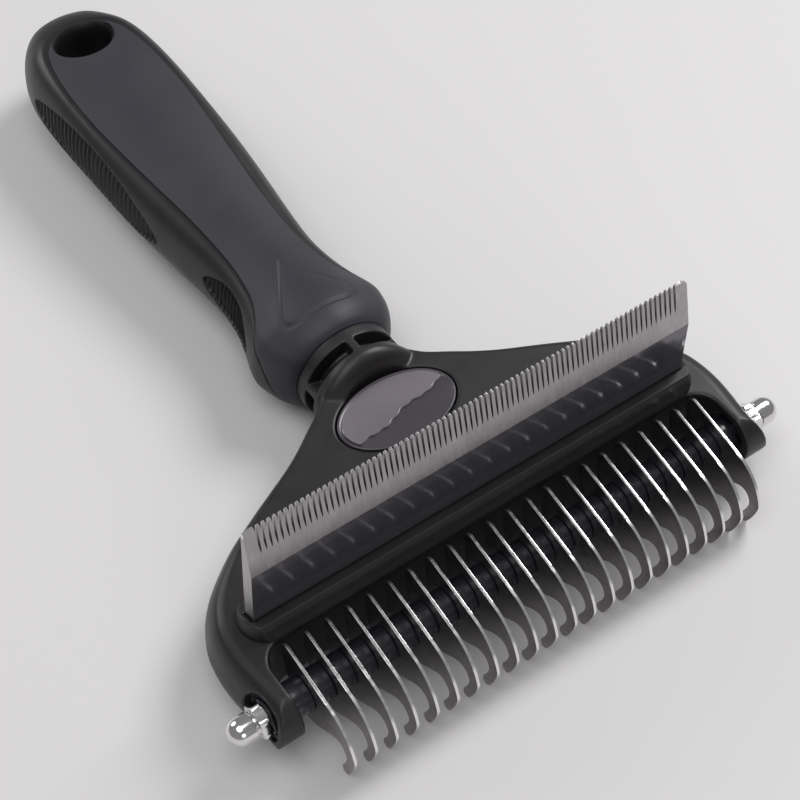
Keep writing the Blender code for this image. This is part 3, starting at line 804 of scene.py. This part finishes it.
def half_section(y, half_width, shoulder, shoulder_height, top, bottom):
    """(x, z) down the right side of the handle: a low crown, a full side and a round underside."""
    middle = widest_line(y)
    side = []
    for step in range(17):
        x = shoulder * step / 16
        side.append((x, top - (top - shoulder_height) * (x / shoulder) ** 2))
    fall = 2 * (top - shoulder_height) / shoulder
    reach = 0.42 * (half_width - shoulder)
    hull = (
        (shoulder, shoulder_height),
        (shoulder + reach, shoulder_height - fall * reach),
        (half_width, middle + 0.78 * (shoulder_height - middle)),
        (half_width, middle),
    )
    for step in range(1, 25):
        t = step / 24
        weights = ((1 - t) ** 3, 3 * t * (1 - t) ** 2, 3 * t**2 * (1 - t), t**3)
        side.append(tuple(sum(w * point[i] for w, point in zip(weights, hull)) for i in (0, 1)))
    for step in range(1, 25):
        angle = math.radians(90 * step / 24)
        side.append(
            (
                half_width * max(math.cos(angle), 0.0) ** UNDERSIDE_POWER,
                middle - (middle - bottom) * math.sin(angle) ** UNDERSIDE_POWER,
            )
        )
    return side


def split_at(side, height):
    """The side's points above the height, and those below it, both with the point where they meet."""
    for k, (a, b) in enumerate(zip(side, side[1:])):
        if a[1] >= height > b[1]:
            t = (a[1] - height) / (a[1] - b[1])
            meet = (a[0] + (b[0] - a[0]) * t, height)
            return side[: k + 1] + [meet], [meet] + side[k + 1 :]
    return (side, []) if side[-1][1] >= height else ([], side)


def spaced(points, count):
    """`count` points evenly along the line."""
    lengths = [0.0]
    for a, b in zip(points, points[1:]):
        lengths.append(lengths[-1] + math.hypot(b[0] - a[0], b[1] - a[1]))
    made = []
    k = 0
    for step in range(count):
        target = lengths[-1] * step / (count - 1)
        while k < len(points) - 2 and lengths[k + 1] < target:
            k += 1
        t = (target - lengths[k]) / max(lengths[k + 1] - lengths[k], 1e-9)
        made.append(tuple(points[k][i] + (points[k + 1][i] - points[k][i]) * min(t, 1.0) for i in (0, 1)))
    return made


def handle_stations():
    """The handle's sizes at close steps along it."""
    rows = curve_through(HANDLE, 12)
    columns = [[(row[0], row[i]) for row in rows] for i in range(1, 6)]
    steps = int((HANDLE[-1][0] - HANDLE[0][0]) / RING_STEP)
    made = []
    for step in range(steps + 1):
        t = step / steps
        y = HANDLE[0][0] + (HANDLE[-1][0] - HANDLE[0][0]) * t
        made.append((y, *(between(y, column) for column in columns)))
    return made


def pad_distance(x, y):
    """Distance from the thumb pad's outline, a rounded triangle that points back along the handle."""
    front, apex, half, corner = 69.9, 87.6, 11.2, 4.4
    slope = math.atan2(half, apex - front)
    reach = abs(x)
    flat = front - y + corner
    slanted = (reach - half) * math.cos(slope) + (y - front) * math.sin(slope) + corner
    outside = math.hypot(max(flat, 0.0), max(slanted, 0.0))
    return abs(outside + min(max(flat, slanted), 0.0) - corner)


def rib_relief(y, z, parting):
    """How far the core's side is pushed in: two ribbed recesses below the skin's edge."""
    relief = 0.0
    for first, last, pitch, high, tall in RECESSES:
        along = (y - first) / (last - first)
        if not 0.0 < along < 1.0:
            continue
        lens = math.sqrt(math.sin(math.pi * along))
        centre = parting - high - tall / 2
        inside = lens * tall / 2 - abs(z - centre)
        depth = ramp(inside, 0.0, 0.7)
        wave = 0.5 - 0.5 * math.cos(2 * math.pi * (y - first) / pitch)
        relief = max(relief, depth * (0.35 + 1.5 * wave**0.7))
    return relief


def handle_rings(kind):
    """Rings of the skin or the core, each an open side mirrored and closed inside."""
    rings = []
    for station in handle_stations():
        y = station[0]
        parting = parting_height(y)
        if kind == "skin":
            side, _ = split_at(half_section(*station), parting + PARTING_GAP)
        else:
            _, side = split_at(half_section(*station), parting - PARTING_GAP)
        if len(side) < 3:
            continue
        side = spaced(side, 100 if kind == "core" else 64)
        edge = side[-1] if kind == "skin" else side[0]
        toward = EDGE_TUCK if edge[0] > 0.5 else 0.0
        tucked = (edge[0] - toward, edge[1] + (EDGE_DROP if kind == "skin" else -EDGE_DROP))
        if kind == "skin":
            side[-1] = tucked
        else:
            side[0] = tucked
        shaped = []
        for x, z in side:
            if kind == "skin" and y < 92 and z > 6:
                z -= PAD_GROOVE * math.exp(-((pad_distance(x, y) / PAD_GROOVE) ** 2))
            if kind == "core":
                x = max(x - rib_relief(y, z, parting), 0.0)
            shaped.append((x, z))
        right = [(x, y, z) for x, z in shaped]
        left = [(-x, y, z) for x, z in reversed(shaped)]
        rings.append(right + left)
    return rings


def hole_cutter():
    """The hole to hang it by, wider towards both faces."""
    levels = [(-30.0, 3.0), (-9.5, 2.0), (-8.0, 0.8), (-6.0, 0.1), (-4.0, 0.0)]
    levels += [(9.5, 0.0), (11.5, 0.12), (12.8, 0.6), (14.0, 1.5), (15.0, 2.9)]
    rings = []
    for height, grow in levels:
        outline = oval(HOLE_HALF_WIDTH + grow, HOLE_HALF_LENGTH + grow, HOLE_PLACE)
        rings.append([(x, y, height) for x, y in outline])
    return loft(rings)


def make_handle():
    for kind, material, slot in (("core", BLACK, "black_plastic"), ("skin", SLATE, "slate_rubber")):
        body = loft(handle_rings(kind))
        bmesh.ops.remove_doubles(body, verts=body.verts[:], dist=0.001)
        drilled = carved(body, [("DIFFERENCE", hole_cutter())])
        made = set_down(f"handle_{kind}_look", drilled, (material,), 42)
        declare(made, [f"handle_{kind}"])


# Surroundings ------------------------------------------------------------------------------------------


def make_floor():
    material, tree, shader = new_material("floor", FLOOR_DARK, 0.6)
    tint(tree, shader, noise_of(tree, 3.0, 3.0), FLOOR_DARK, FLOOR_LIGHT)
    bm = bmesh.new()
    bmesh.ops.create_grid(bm, x_segments=8, y_segments=8, size=FLOOR_HALF)
    mesh = bpy.data.meshes.new("floor")
    bm.to_mesh(mesh)
    bm.free()
    mesh.materials.append(material)
    floor = bpy.data.objects.new("floor", mesh)
    bpy.context.scene.collection.objects.link(floor)


def aim(thing, target):
    thing.rotation_euler = (target - thing.location).to_track_quat("-Z", "Y").to_euler()


def make_light(name, place, size, power):
    light = bpy.data.lights.new(name, "AREA")
    light.shape = "DISK"
    light.size = size
    light.energy = power
    made = bpy.data.objects.new(name, light)
    bpy.context.scene.collection.objects.link(made)
    made.location = AXLE + Vector(place)
    aim(made, AXLE + Vector((0.0, 0.05, 0.0)))


def make_lights():
    bpy.context.scene.view_settings.view_transform = "Standard"
    bpy.context.scene.view_settings.look = "None"
    world = bpy.data.worlds.new("studio")
    bpy.context.scene.world = world
    world.use_nodes = True
    background = world.node_tree.nodes["Background"]
    background.inputs["Color"].default_value = SKY_COLOUR
    background.inputs["Strength"].default_value = SKY_STRENGTH
    make_light("key", (0.75, 0.20, 0.80), 0.50, 6.6)
    make_light("overhead", (-0.25, -0.10, 1.00), 0.80, 3.6)
    make_light("back", (-0.35, 0.95, 0.55), 0.55, 2.4)
    make_light("front", (-0.20, -0.95, 0.45), 0.50, 1.0)


def make_camera():
    camera = bpy.data.cameras.new("camera")
    camera.lens = CAMERA_LENS
    camera.sensor_width = SENSOR_WIDTH
    made = bpy.data.objects.new("camera", camera)
    bpy.context.scene.collection.objects.link(made)
    target = AXLE + Vector(CAMERA_TARGET) * MM
    turn, rise, distance = math.radians(CAMERA_TURN), math.radians(CAMERA_RISE), CAMERA_DISTANCE * MM
    heading = Vector((math.sin(turn) * math.cos(rise), math.cos(turn) * math.cos(rise), -math.sin(rise)))
    made.location = target - distance * heading
    aim(made, target)
    bpy.context.scene.camera = made


# Metals: dark and light colour, low and high roughness, stretch of the lines, depth of the relief
# The rake's one steel in two shades: darker on the sides as painted shade, lighter on the edges as a painted
# highlight.
RAKE_SIDE_SHADE = metal(
    "rake_side_painted_shade", (0.26, 0.245, 0.26), (0.35, 0.335, 0.35), 0.26, 0.40, (1.0, 0.25, 1.0), 0.000004
)
RAKE_EDGE_HIGHLIGHT = metal("rake_edge_painted_highlight", (0.86, 0.85, 0.86), (0.93, 0.92, 0.93), 0.16, 0.28, (0.3, 1.0, 1.0), 0.000002)
BRUSHED = metal(
    "blade_brushed", (0.38, 0.36, 0.375), (0.47, 0.455, 0.465), 0.30, 0.44, (1.0, 1.0, 0.04), 0.000006
)
# The polished band's steel is darkened as a painted reflection of the black parts in front of it.
MIRROR_DARK_REFLECTION = metal(
    "blade_polished_painted_reflection",
    (0.15, 0.145, 0.16),
    (0.18, 0.174, 0.19),
    0.09,
    0.14,
    (0.05, 1.0, 1.0),
    0.000001,
    metallic=0.7,
)
# Lighter steel for the teeth's tops, a painted highlight.
TIP_HIGHLIGHT = metal("blade_tip_painted_highlight", (0.80, 0.79, 0.80), (0.90, 0.89, 0.90), 0.15, 0.25, (1.0, 1.0, 0.3), 0.000002)
CHROME = metal(
    "chrome", (0.76, 0.75, 0.76), (0.82, 0.81, 0.82), 0.08, 0.16, (0.2, 1.0, 1.0), 0.0000015, 1400.0
)
ZINC = metal("zinc", (0.50, 0.50, 0.51), (0.60, 0.60, 0.61), 0.28, 0.42, (0.3, 1.0, 1.0), 0.000004)

# Plastics: dark and light colour, low and high roughness, scale and depth of the grain, coat
BLACK = plastic(
    "black_plastic", (0.0095, 0.0080, 0.0093), (0.0135, 0.0115, 0.0132), 0.36, 0.46, 3800.0, 0.000022
)
GLOSS = plastic(
    "gloss_black", (0.012, 0.011, 0.015), (0.020, 0.018, 0.026), 0.20, 0.32, 900.0, 0.000006, 0.25
)
SLATE = rubber("slate_rubber", (0.031, 0.029, 0.038), (0.036, 0.034, 0.044))
BADGE = plastic(
    "badge_grey", (0.055, 0.050, 0.060), (0.062, 0.057, 0.068), 0.24, 0.34, 2400.0, 0.000006
)
# The film's light grey is a painted reflection of the light on the badge's rear half.
FILM_AND_REFLECTION = plastic("badge_film_and_painted_reflection", (0.15, 0.135, 0.148), (0.20, 0.18, 0.195), 0.16, 0.26, 300.0, 0.00003, 0.4)

make_rake_blades()
make_spacers()
make_nut(-1, "left")
make_nut(1, "right")
make_head()
make_holder()
make_shedding_blade()
make_badge()
make_handle()
for name in ("axle", "holder_screw_left", "holder_screw_right"):
    node = bpy.data.objects[name]
    node.data.materials.clear()
    node.data.materials.append(ZINC)
make_floor()
make_lights()
make_camera()
